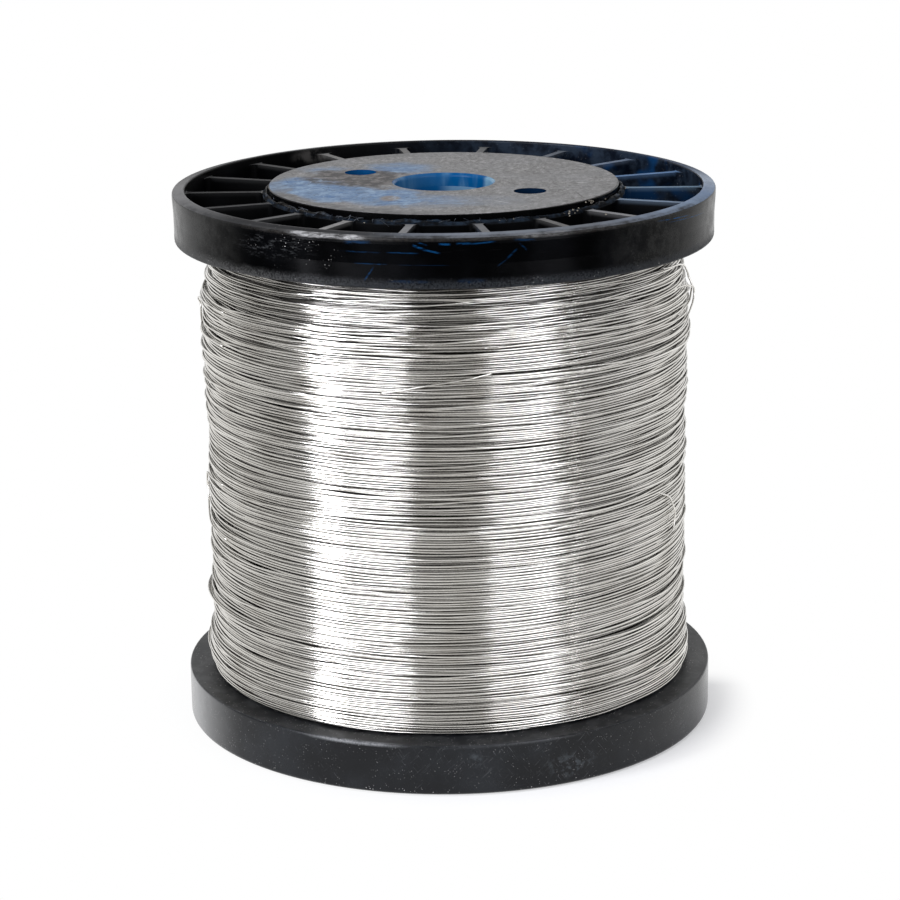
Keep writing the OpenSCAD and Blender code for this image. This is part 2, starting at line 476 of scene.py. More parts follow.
class Winding:
    """Height map of the wound wire, by station round the barrel and by cell along it. Turns are laid on it."""

    def __init__(self):
        cells = int((WIRE_HIGH - WIRE_LOW) / CELL) + 1
        self.z = WIRE_LOW + np.arange(cells) * CELL
        self.height = np.tile(buried_profile(self.z), (STATIONS, 1))
        reach = int(round(WIRE_RADIUS / CELL))
        self.window = np.arange(-reach, reach + 1)
        self.arc = np.sqrt(np.maximum(WIRE_RADIUS ** 2 - (self.window * CELL) ** 2, 0))
        self.row = np.arange(STATIONS)[:, None]

    def cells_at(self, z):
        middle = np.round((z - WIRE_LOW) / CELL).astype(int)
        return np.clip(middle[:, None] + self.window[None, :], 0, len(self.z) - 1)

    def contact(self, z):
        """Radius at which a wire at heights z, one for each station, touches what lies below it."""
        return (self.height[self.row, self.cells_at(z)] + self.arc).max(axis=1)

    def settle(self, z):
        """Lets the wire slip sideways into a groove where one is near."""
        cost = [self.contact(self.within(z + s)) + SLIP_COST * abs(s) for s in SLIPS]
        slip = SLIPS[np.stack([smoothed(c, JUDGED) for c in cost]).argmin(axis=0)]
        return self.within(z + smoothed(slip, EASED))

    def within(self, z):
        return np.clip(z, WIRE_LOW + FLANGE_GAP, WIRE_HIGH - FLANGE_GAP)

    def taut(self, radius):
        """The wire pulled straight between the places where it touches, and bending softly at them."""
        inverse = 1 / radius
        for _ in range(TAUT_PASSES):
            for reach in TAUT_REACHES:
                across = np.roll(inverse, reach) + np.roll(inverse, -reach)
                inverse = np.minimum(inverse, across / (2 * math.cos(reach * math.tau / STATIONS)))
        return smoothed(1 / inverse, BEND)

    def lay(self, z, slack):
        radius = self.taut(self.contact(z)) + slack
        cells = self.cells_at(z)
        self.height[self.row, cells] = np.maximum(self.height[self.row, cells], radius[:, None] + self.arc)
        return radius

    def wind_layer(self, rng, pitch, upwards):
        """Lays one layer and returns its turns as an array of (radius, height) for each turn and station."""
        turns = int((WIRE_HIGH - WIRE_LOW - 2 * FLANGE_GAP) / pitch)
        share = np.arange(STATIONS) / STATIONS

        def running(reach):
            return smooth_field(rng, 1, turns * STATIONS, 1, reach).reshape(turns, STATIONS)

        wander = smooth_field(rng, turns, STATIONS, *SHARED_REACH) * SHARED_WANDER
        wander = wander + sum(running(reach) * size for reach, size in SINGLE_WANDERS)
        slack = running(SLACK_REACH)
        blend = np.clip(np.arange(STATIONS) / JOINT_STATIONS, 0, 1)
        blend = blend * blend * (3 - 2 * blend)
        laid = []
        for n in range(turns):
            nominal = WIRE_LOW + FLANGE_GAP + (n + share) * pitch
            if not upwards:
                nominal = WIRE_LOW + WIRE_HIGH - nominal
            loose = 1 + LOOSE_EXTRA * np.exp(-((WIRE_HIGH - nominal) / LOOSE_WIDTH) ** 2)
            z = self.settle(self.within(nominal + wander[n] * loose))
            if laid:
                z = laid[-1][-1, 1] + (z - laid[-1][-1, 1]) * blend
            radius = self.lay(z, SLACK * np.maximum(slack[n], 0) * loose)
            if laid:
                radius = laid[-1][-1, 0] + (radius - laid[-1][-1, 0]) * blend
            laid.append(np.stack([radius, z], axis=1))
        return np.array(laid)


def turned_path(turns):
    """Points of turns given as (radius, height) for each turn and station."""
    angle = SEAM + np.tile(np.arange(STATIONS) * math.tau / STATIONS, len(turns))
    return around_axis(turns[..., 0].ravel(), angle, turns[..., 1].ravel())


DRAWN = 0.85
STEEL_DULL = (0.65, 0.631, 0.59)
STEEL_BRIGHT = (0.86, 0.841, 0.795)
STEEL_WARM = (0.52, 0.49, 0.44)
PAINTED_GROOVE_SHADE = (0.035, 0.033, 0.030)
# Painted shade in the grooves between turns: a wire's surface grows dark from this slope on
GROOVE_FROM = 0.8
# How often its tone changes round the spool, and along it by the metre
TONES_ROUND = 6
TONES_UP = 900
# Painted shade: how bright each shown layer is, from the deepest to the outermost, and what is buried
PAINTED_LAYER_SHADES = (0.6, 0.88, 1.0)
PAINTED_BURIED_SHADE = 0.1


def wire_material(name, shade):
    """Drawn steel, with painted shade in its grooves and on the deeper layers, by their shade."""
    steel = Surface(name)
    angle = steel.math("DIVIDE", steel.math("ARCTAN2", steel.y, steel.x), math.tau)
    lengthwise = steel.vector(steel.both(angle, TONES_ROUND), 0, steel.both(steel.height, TONES_UP))
    inputs = {"Vector": lengthwise, "Scale": 1.0, "Detail": 2.0, "Roughness": 0.6}
    tone = steel.node("ShaderNodeTexNoise", inputs).outputs["Fac"]
    steel.color = steel.mix(steel.span(tone, 0.25, 0.75), STEEL_DULL, STEEL_BRIGHT)
    steel.paint(STEEL_WARM, steel.span(steel.noise(60.0, 2.0), 0.45, 0.7, 0.0, 0.35))
    # Painted shade where the wire turns down into the grooves, and partly all over the deeper layers by their
    # shade
    groove_shade = steel.span(steel.math("ABSOLUTE", steel.slope), GROOVE_FROM, 1.0, 1.0 - shade, 1.0)
    steel.paint(PAINTED_GROOVE_SHADE, groove_shade)
    roughness = steel.span(tone, 0.3, 0.7, 0.27, 0.19)
    tangent = steel.node("ShaderNodeTangent", direction_type="RADIAL", axis="Z").outputs[0]
    return steel.finished(roughness, Metallic=1, Anisotropic=DRAWN, Anisotropic_Rotation=0.25, Tangent=tangent)


PIECE_TURNS = 100
WINDING_SEED = 7
CORE_LEVELS = 60
CORE_STEPS = 180


def add_winding():
    rng = np.random.default_rng(WINDING_SEED)
    winding = Winding()
    layers = [winding.wind_layer(rng, pitch, n % 2 == 0) for n, pitch in enumerate(SHOWN_LAYERS)]
    count = 0
    for n, (turns, shade) in enumerate(zip(layers, PAINTED_LAYER_SHADES)):
        steel = wire_material(f"drawn_stainless_shaded_{n + 1}", shade)
        for first in range(0, len(turns), PIECE_TURNS):
            # A piece runs on to where the next one starts
            path = turned_path(turns[first:first + PIECE_TURNS + 1])
            path = path[:PIECE_TURNS * STATIONS + 1]
            points, *faces = tube_arrays(path, WIRE_RADIUS)
            count += 1
            piece = mesh_piece(f"wire_turns_{count}", points, faces, steel, "stainless_wire")
            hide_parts("wire_coil")
    # The buried turns get the steel with the most painted shade
    add_wire_core(wire_material("buried_stainless_shaded", PAINTED_BURIED_SHADE))
    add_stray_wires(winding, steel)


def add_wire_core(steel):
    """The buried turns under the shown ones, as one solid ring."""
    z = np.linspace(WIRE_LOW, WIRE_HIGH, CORE_LEVELS)
    outline = np.array([(BARREL_R, WIRE_LOW), *zip(buried_profile(z), z), (BARREL_R, WIRE_HIGH)])
    angle = np.arange(CORE_STEPS)[:, None] * math.tau / CORE_STEPS
    points = around_axis(outline[:, 0], angle, np.tile(outline[:, 1], (CORE_STEPS, 1))).reshape(-1, 3)
    piece = mesh_piece("wire_core", points, [ring_quads(CORE_STEPS, len(outline))], steel, "stainless_wire")
    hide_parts("wire_coil")


# Loose wires that lie over the winding, each a list of (degrees from the front, height, stand-off)
STRAY_WIRES = {
    "crossing_wire_1": ((-14.6, 145.1, 0), (-7, 147.6, 0), (-2.8, 148.8, 0), (2.6, 150.1, 0), (10.3, 152.1, 0)),
    "crossing_wire_2": ((8.5, 161.1, 0), (17.5, 161.7, 0), (27.1, 161.8, 0)),
    "crossing_wire_3": ((22.6, 92.8, 0), (26.5, 93.7, 0), (33.7, 94.4, 0), (35.7, 95.3, 0)),
    "crossing_wire_4": ((128, 71, 0), (146, 74, 0), (163, 75, 0)),
    "crossing_wire_5": ((-171, 132, 0), (-152, 136, 0), (-134, 137, 0)),
    "kinked_end": ((59.5, 95.6, 0), (63.5, 92.6, 0.1), (66.4, 88.0, 0.3), (67.5, 82.6, 0.4), (66.3, 79.2, 0.3),
                   (62.5, 77.6, 0.1), (58.5, 77.0, 0)),
    "left_loop": ((-60, 165, 0), (-75, 165, 0), (-86, 162, 0.2), (-88, 157.5, 0.3), (-80, 153.5, 0),
                  (-62, 152, 0)),
    "left_slack": ((-66, 98, 0), (-80, 97, 0), (-87, 92, 0), (-87, 85, 0), (-80, 79, 0), (-66, 77, 0)),
    "right_loop_1": ((64, 177.5, 0), (76, 175.5, 0), (84, 171, 0.3), (85.5, 166.4, 0.5), (83, 161.6, 0),
                     (70, 158.8, 0)),
    "right_loop_2": ((68, 168.5, 0), (78, 167, 0), (85, 163.5, 1.1), (84, 158.6, 0.9), (78, 155.8, 0),
                     (66, 154.5, 0)),
}
STRAY_RADIUS = 0.33
SAMPLES_PER_STOP = 14
# The wire rests on the highest turns within that many samples, and sinks in over a seventh of it at each end
GROUND_REACH = 4
END_SINK = 1.0
END_SHARES = 7


def flowing(stops, per_stop):
    """A smooth curve through the stops."""
    stops = np.asarray(stops, float)
    ends = np.concatenate([[2 * stops[0] - stops[1]], stops, [2 * stops[-1] - stops[-2]]])
    t = (np.arange(per_stop) / per_stop)[:, None]
    runs = []
    for a, b, c, d in zip(ends, ends[1:], ends[2:], ends[3:]):
        bend = (2 * a - 5 * b + 4 * c - d) * t ** 2 + (3 * b - a - 3 * c + d) * t ** 3
        runs.append(0.5 * (2 * b + (c - a) * t + bend))
    return np.concatenate(runs + [stops[-1:]])


def nearby(values, combine):
    """Each value combined with those within GROUND_REACH of it."""
    firsts = np.arange(len(values)) - GROUND_REACH
    return np.array([combine(values[max(0, n):n + 2 * GROUND_REACH + 1]) for n in firsts])


def stray_path(winding, stops):
    """Points of a wire that rests on the winding, its two ends slipped in between the turns."""
    curve = flowing(stops, SAMPLES_PER_STOP)
    angle = np.radians(curve[:, 0] - 90)
    station = np.round((angle - SEAM) / math.tau * STATIONS).astype(int) % STATIONS
    ground = winding.height[station[:, None], winding.cells_at(curve[:, 1])].max(axis=1)
    ground = nearby(nearby(ground, np.max), np.mean)
    share = np.arange(len(curve)) / (len(curve) - 1)
    sink = END_SINK * np.clip(1 - np.minimum(share, 1 - share) * END_SHARES, 0, 1)
    return around_axis(ground + STRAY_RADIUS + curve[:, 2] - sink, angle, curve[:, 1])


def add_stray_wires(winding, steel):
    for name, stops in STRAY_WIRES.items():
        points, *faces = tube_arrays(stray_path(winding, stops), STRAY_RADIUS)
        mesh_piece(name, points, faces, steel, "stainless_wire")


# Plastics. Scratches run level, and each stain has its place.
LOWER_GLOSS = 0.25
UPPER_GLOSS = 0.11
DISC_GLOSS = 0.08
BLACK = (0.0004, 0.00045, 0.0006)
SOOT = (0.0016, 0.0018, 0.0024)
DARK_GREY = (0.012, 0.013, 0.015)
SCUFFED = (0.10, 0.105, 0.11)
WORN = (0.45, 0.45, 0.45)
DUST = (0.55, 0.54, 0.52)
DEEP_BLUE = (0.003, 0.028, 0.085)
STREAK_BLUE = (0.002, 0.036, 0.105)
BORE_BLUE = (0.0006, 0.06, 0.18)
# A spot's size along an axis where it has no end
ENDLESS = 1000

# Blue scrapes on the upper flange's side: start and end as (distance from the front, height), half of the width
# and how strong the blue is
BLUE_SCRAPES = (
    ((-35.5, 199.9), (-24.5, 200.4), 0.8, 0.35),
    ((-37, 196.9), (-21, 196.8), 0.3, 0.3),
    ((-20.5, 197.0), (-8, 196.8), 0.3, 0.45),
    ((-11, 199.8), (-6, 197.7), 0.6, 1.0),
    ((-7.5, 198.2), (-1, 196.7), 0.45, 0.7),
    ((-9.5, 200.7), (-5.5, 199.5), 0.35, 0.5),
    ((-2.3, 200.1), (2.4, 199.8), 0.5, 0.75),
    ((3.5, 200.1), (9.5, 200), 0.5, 0.6),
    ((8, 199.8), (18, 200.5), 0.4, 0.55),
    ((23, 200.7), (32, 200.1), 0.6, 0.25),
    ((25.2, 199.7), (28.6, 196.5), 0.45, 0.22),
    ((25.3, 198), (20.5, 193.6), 0.5, 0.25),
    ((21.2, 194), (17.6, 191.6), 0.35, 0.14),
    ((-32, 192.8), (-19.5, 192.8), 0.25, 0.35),
    ((-23.5, 192.8), (-19, 192.9), 0.3, 0.4),
    ((-19, 192.7), (6, 192.6), 0.2, 0.1),
    ((-24, 192.2), (-28, 186.5), 0.4, 0.4),
    ((82, 200.6), (106, 199.3), 0.22, 1.0),
    ((88, 199.2), (121, 197.6), 0.18, 0.8),
)
# Colours round the upper flange by degrees from its front, + to the right, for its rim's top and its ribs'
# tops: grey and blue tint with painted light and shade
RIM_TOP_TINT_AND_PAINTED_LIGHT = (
    (-180, (0.012, 0.012, 0.013)), (-165, (0.02, 0.02, 0.02)), (-145, (0.12, 0.12, 0.118)),
    (-115, (0.08, 0.08, 0.08)), (-90, (0.17, 0.168, 0.165)), (-68, (0.12, 0.12, 0.12)),
    (-48, (0.016, 0.016, 0.017)), (-28, (0.015, 0.015, 0.016)), (-15, (0.028, 0.029, 0.031)),
    (0, (0.14, 0.157, 0.185)), (30, (0.12, 0.13, 0.145)), (45, (0.14, 0.165, 0.21)),
    (60, (0.165, 0.215, 0.29)), (75, (0.14, 0.19, 0.28)), (92, (0.34, 0.39, 0.46)),
    (106, (0.06, 0.08, 0.12)), (140, (0.012, 0.016, 0.025)), (180, (0.012, 0.012, 0.013)),
)
RIB_TOP_TINT_AND_PAINTED_LIGHT = (
    (-180, (0.15, 0.147, 0.143)), (-150, (0.19, 0.186, 0.18)), (-128, (0.05, 0.05, 0.05)),
    (-90, (0.02, 0.02, 0.021)), (-70, (0.035, 0.035, 0.037)), (-50, (0.095, 0.095, 0.096)),
    (-30, (0.25, 0.245, 0.24)), (0, (0.15, 0.153, 0.16)), (30, (0.125, 0.123, 0.12)),
    (50, (0.2, 0.2, 0.205)), (70, (0.145, 0.2, 0.28)), (90, (0.125, 0.19, 0.265)),
    (110, (0.1, 0.185, 0.34)), (130, (0.13, 0.165, 0.23)), (158, (0.1, 0.105, 0.11)),
    (180, (0.15, 0.147, 0.143)),
)


def upper_flange_plastic():
    skin = Surface("upper_flange_plastic")
    radius, height, side, up = skin.radius, skin.height, skin.side, skin.up
    cloud = skin.noise(45, 4)
    fine_cloud = skin.noise(170, 4, 0.65)
    grit = skin.noise(1400, 3, 0.7)
    rim_top = skin.both(up, skin.span_mm(radius, RIM_IN_R - 0.5, RIM_IN_R))
    rib_top = skin.less(skin.both(up, skin.span_mm(height, RIB_TOP_Z - 0.3, RIB_TOP_Z)), rim_top)
    rib_top = skin.both(rib_top, skin.span_mm(radius, COLLAR_R + 0.2, COLLAR_R + 1))
    bead = skin.both(skin.span_mm(radius, COLLAR_R + 0.3, COLLAR_R - 0.1),
                     skin.span_mm(height, RIM_TOP - 3.6, RIM_TOP - 2.8))
    skin.color = skin.mix(skin.span(cloud, 0.45, 0.75, 0, 0.8), BLACK, SOOT)

    # The back right is stained inside: mottled grey-blue, with deep blue patches
    outside = skin.total(side, up)
    stain = skin.less(skin.both(skin.span_mm(skin.x, -35, 45), skin.span_mm(skin.y, -32, 25)), outside)
    mottle = skin.mix(skin.span(fine_cloud, 0.38, 0.66), (0.002, 0.004, 0.009), (0.016, 0.025, 0.04))
    patch = skin.both(skin.span(skin.noise(62, 2), 0.5, 0.6), skin.span_mm(skin.x, 20, 60))
    skin.paint(skin.mix(patch, mottle, DEEP_BLUE), stain)
    front_stain = skin.less(skin.spots(((4, -84, RIM_TOP - 8), (24, 18, 12), 0.6, 1)), outside)
    speckled = skin.mix(skin.span(fine_cloud, 0.4, 0.65), (0.002, 0.006, 0.014), (0.014, 0.034, 0.065))
    skin.paint(speckled, front_stain)
    smear = skin.spots(((-53, 80, 200), (12, 10, 4), 0.8, 0.5))
    skin.paint((0.09, 0.085, 0.08), smear, skin.span(fine_cloud, 0.4, 0.6))

    # Rib tops are dull grey with painted light and shade round the spool, and a quarter of that colour lies on
    # the upper edge of their flanks
    rib_tint_and_light = skin.shades(RIB_TOP_TINT_AND_PAINTED_LIGHT)
    dull = skin.span(fine_cloud, 0.3, 0.6, 0.75, 1)
    skin.paint(rib_tint_and_light, rib_top, dull)
    flank = skin.less(skin.span_mm(height, RIB_TOP_Z - 1.9, RIB_TOP_Z - 0.2), skin.total(side, up, rim_top))
    skin.paint(rib_tint_and_light, flank, skin.span_mm(radius, RIM_IN_R - 1.5, RIM_IN_R - 3),
               skin.span_mm(radius, COLLAR_R + 0.5, COLLAR_R + 2), 0.25)

    # The rim's top is grey and bluish on the right, with painted light and shade round the spool that is dark
    # at the front left, and a painted highlight on its inner edge
    skin.paint(skin.shades(RIM_TOP_TINT_AND_PAINTED_LIGHT), rim_top, dull)
    skin.paint(DARK_GREY, rim_top, skin.span_mm(radius, RIM_IN_R + 2, RIM_IN_R + 3.4),
               skin.span(skin.plus(fine_cloud, skin.both(grit, 0.5)), 0.55, 0.85, 1, 0.3),
               skin.span_mm(skin.y, -20, -60))
    # Painted highlight along the rim's inner edge, stronger towards the left
    skin.paint((0.2, 0.2, 0.2), rim_top, skin.span_mm(radius, RIM_IN_R + 1.3, RIM_IN_R + 0.5),
               skin.span_mm(skin.x, 0, -40, 0.05, 0.4))

    # The rim's front edge is scraped bright in two stretches, and gritty between them
    edge = skin.both(skin.span_mm(skin.y, -62, -86), skin.span_mm(height, RIM_EDGE_Z - 1.7, RIM_EDGE_Z - 0.9),
                     skin.span_mm(radius, RIM_IN_R + 2.9, RIM_IN_R + 3.6))
    scraped = skin.both(skin.span(skin.noise(90, 3, 0.6, (0.5, 1, 1.5)), 0.36, 0.55, 0.3, 1),
                        skin.span(skin.noise(420, 3, 0.6, (0.22, 0.5, 3)), 0.3, 0.6, 0.25, 1),
                        skin.span(skin.noise(1000, 4, 0.7, (0.4, 0.7, 1.6)), 0.4, 0.56, 0.25, 1))
    stretches = skin.spots(((-40, -91, RIM_TOP), (20, 16, 5), 0.6, 1),
                           ((34, -94, RIM_TOP), (14, 14, 5), 0.8, 0.5))
    worn = skin.both(edge, scraped, skin.span(stretches, 0, 1, 0.04, 1))
    skin.paint((0.04, 0.034, 0.028), edge, skin.span(grit, 0.4, 0.6, 0.2, 1), 0.25)
    skin.paint(WORN, worn)

    # The side carries a haze at its ends, level scratches and thin blue scrapes in front
    ends = skin.total(skin.span_mm(skin.around, -72, -100), skin.span_mm(skin.around, 50, 85))
    haze = skin.both(side, ends, skin.span(fine_cloud, 0.35, 0.65, 0.3, 1), skin.span(grit, 0.3, 0.7, 0.6, 1))
    skin.paint((0.04, 0.04, 0.037), haze, 0.35)
    scratched = skin.both(side, skin.level_scratches(12, 0.22, 0.03), skin.span(skin.noise(30, 2), 0.42, 0.62),
                          skin.span_mm(skin.x, 60, -40, 0.03, 0.2))
    skin.paint(SCUFFED, scratched)
    rubbed = skin.spots(((-60, -80, 196), (24, 20, 6), 0.8, 0.3))
    skin.paint(SCUFFED, side, rubbed, skin.span(skin.noise(260, 5, 0.75, (1, 1, 3.5)), 0.5, 0.72))
    broken = skin.span(skin.noise(420, 4, 0.7, (0.6, 0.6, 3)), 0.38, 0.56, 0.08, 1)
    low_haze = skin.spots(((-12, -99, 186.9), (9, 12, 0.9), 0.9, 1), ((9, -99, 187), (6, 12, 1.3), 0.9, 1))
    low_haze = skin.both(low_haze, skin.span(fine_cloud, 0.42, 0.6, 0.05, 0.3))
    blue_lines = skin.both(skin.strokes(skin.around, height, BLUE_SCRAPES), broken)
    skin.paint(STREAK_BLUE, side, skin.total(blue_lines, low_haze))

    # The side's lower edge is gritty, lighter towards the left
    ragged = skin.plus(height, skin.both(skin.minus(fine_cloud, 0.5), 2.5 * MM))
    gritty = skin.both(side, skin.span_mm(ragged, WIRE_HIGH + 4.4, WIRE_HIGH + 0.9),
                       skin.span(grit, 0.35, 0.65, 0.25, 1))
    gritty_color = skin.mix(skin.span_mm(skin.x, -20, -78), (0.022, 0.025, 0.029), (0.055, 0.055, 0.054))
    skin.paint(gritty_color, gritty, 0.75)

    # Melted beads where the disc is joined on are blue-grey
    skin.paint(skin.mix(skin.span(fine_cloud, 0.42, 0.66), (0.0006, 0.001, 0.0018), (0.012, 0.02, 0.032)), bead)

    # Dust specks gather on the front left of the side
    lightened = skin.total(skin.spots(((-50, -84, 195), (26, 22, 7), 0.7, 1)), skin.both(gritty, 0.5),
                       skin.both(rim_top, 0.3), skin.both(stain, 0.12))
    skin.paint(DUST, skin.specks(920, 0.18), skin.span(skin.noise(260, 2), 0.5, 0.6), lightened, 0.9)

    tops = skin.total(rim_top, rib_top)
    rough = skin.total(skin.span(cloud, 0.3, 0.7, 0.12, 0.18), skin.both(tops, 0.32), skin.both(worn, 0.3),
                       skin.both(gritty, 0.3), skin.both(scratched, 0.5), skin.both(bead, 0.6),
                       skin.both(haze, 0.2), skin.less(0.2, side))
    relief = skin.total(skin.span(side, 0, 1, 1, 0.1), gritty, worn)
    dents = skin.both(skin.plus(skin.both(fine_cloud, 0.3), skin.both(grit, 0.12)), relief)
    return skin.finished(rough, dents, Specular_IOR_Level=UPPER_GLOSS)


def lower_flange_plastic():
    skin = Surface("lower_flange_plastic")
    radius, height, side, around = skin.radius, skin.height, skin.side, skin.around
    cloud = skin.noise(38, 5, 0.6)
    grit = skin.noise(1300, 3, 0.7)
    skin.color = skin.mix(skin.span(cloud, 0.4, 0.72), (0.0028, 0.0032, 0.0042), (0.0075, 0.0088, 0.0108))

    # Dust and a painted sheen lighten both ends of the side, most on the left, and thin out behind
    lightened = skin.total(skin.span_mm(around, -85, -135, 0, 0.8), skin.span_mm(around, 118, 150, 0, 0.5))
    behind = skin.span_mm(skin.math("ABSOLUTE", around), 160, 230)
    lightened = skin.total(skin.less(lightened, behind), skin.both(behind, 0.12))
    # Painted sheen and dust at the side's ends
    skin.paint((0.22, 0.22, 0.215), side, lightened, skin.span(cloud, 0.3, 0.6, 0.75, 1))

    # Smudges and handling scratches, thickest on the left
    scratch = skin.total(skin.slanted_scratches((0, 0.8, 0), 6, 0.3, 0.05),
                         skin.slanted_scratches((0, -0.6, 0), 5, 0.28, 0.05),
                         skin.level_scratches(16, 0.25, 0))
    skin.paint((0.15, 0.155, 0.16), side, scratch, skin.span_mm(skin.x, 40, -85, 0.4, 1),
               skin.span(skin.noise(28, 2), 0.4, 0.6), 0.6)
    mottle = skin.spots(((8.6, -99.6, 13.7), (4, 9, 3.5), 0.9, 1), ((43, -90, 8), (14, 14, 7), 0.9, 1))
    skin.paint((0.09, 0.105, 0.115), side, mottle, skin.span(skin.noise(300, 4, 0.7), 0.48, 0.62), 0.3)

    # The upper edge is scuffed light where it has knocked against things
    edge = skin.both(skin.span_mm(radius, FLANGE_R - 1.9, FLANGE_R - 0.8),
                     skin.span_mm(height, WIRE_LOW - 1.5, WIRE_LOW - 0.5))
    knocked = skin.math("MAXIMUM", skin.spots(((-35, -93, WIRE_LOW), (24, 14, 10), 0.7, 1)),
                        skin.span(skin.noise(30, 3), 0.5, 0.7, 0, 0.1))
    scuff = skin.both(edge, knocked, skin.span(grit, 0.3, 0.6, 0.35, 1))
    skin.paint((0.2, 0.205, 0.21), scuff, 0.75)

    # Dust lies on the ledge beside the wire and along the lower edge
    ledge = skin.both(skin.up, skin.span_mm(height, WIRE_LOW - 1.2, WIRE_LOW - 0.2))
    foot = skin.both(side, skin.span_mm(height, RIM_LOW + 2.6, RIM_LOW + 0.8))
    skin.paint(DUST, skin.specks(1000, 0.19), skin.span(skin.noise(240, 2), 0.45, 0.58),
               skin.total(ledge, foot, skin.both(side, 0.25)), 0.75)
    skin.paint((0.026, 0.027, 0.028), ledge, skin.span(skin.noise(160, 5, 0.7), 0.45, 0.62, 0, 0.8))

    rough = skin.total(skin.span(cloud, 0.3, 0.7, 0.2, 0.28), skin.both(scuff, 0.3), skin.both(ledge, 0.2))
    dents = skin.plus(skin.both(skin.noise(260, 2), 0.25), skin.both(grit, 0.1))
    return skin.finished(rough, dents, Specular_IOR_Level=LOWER_GLOSS)


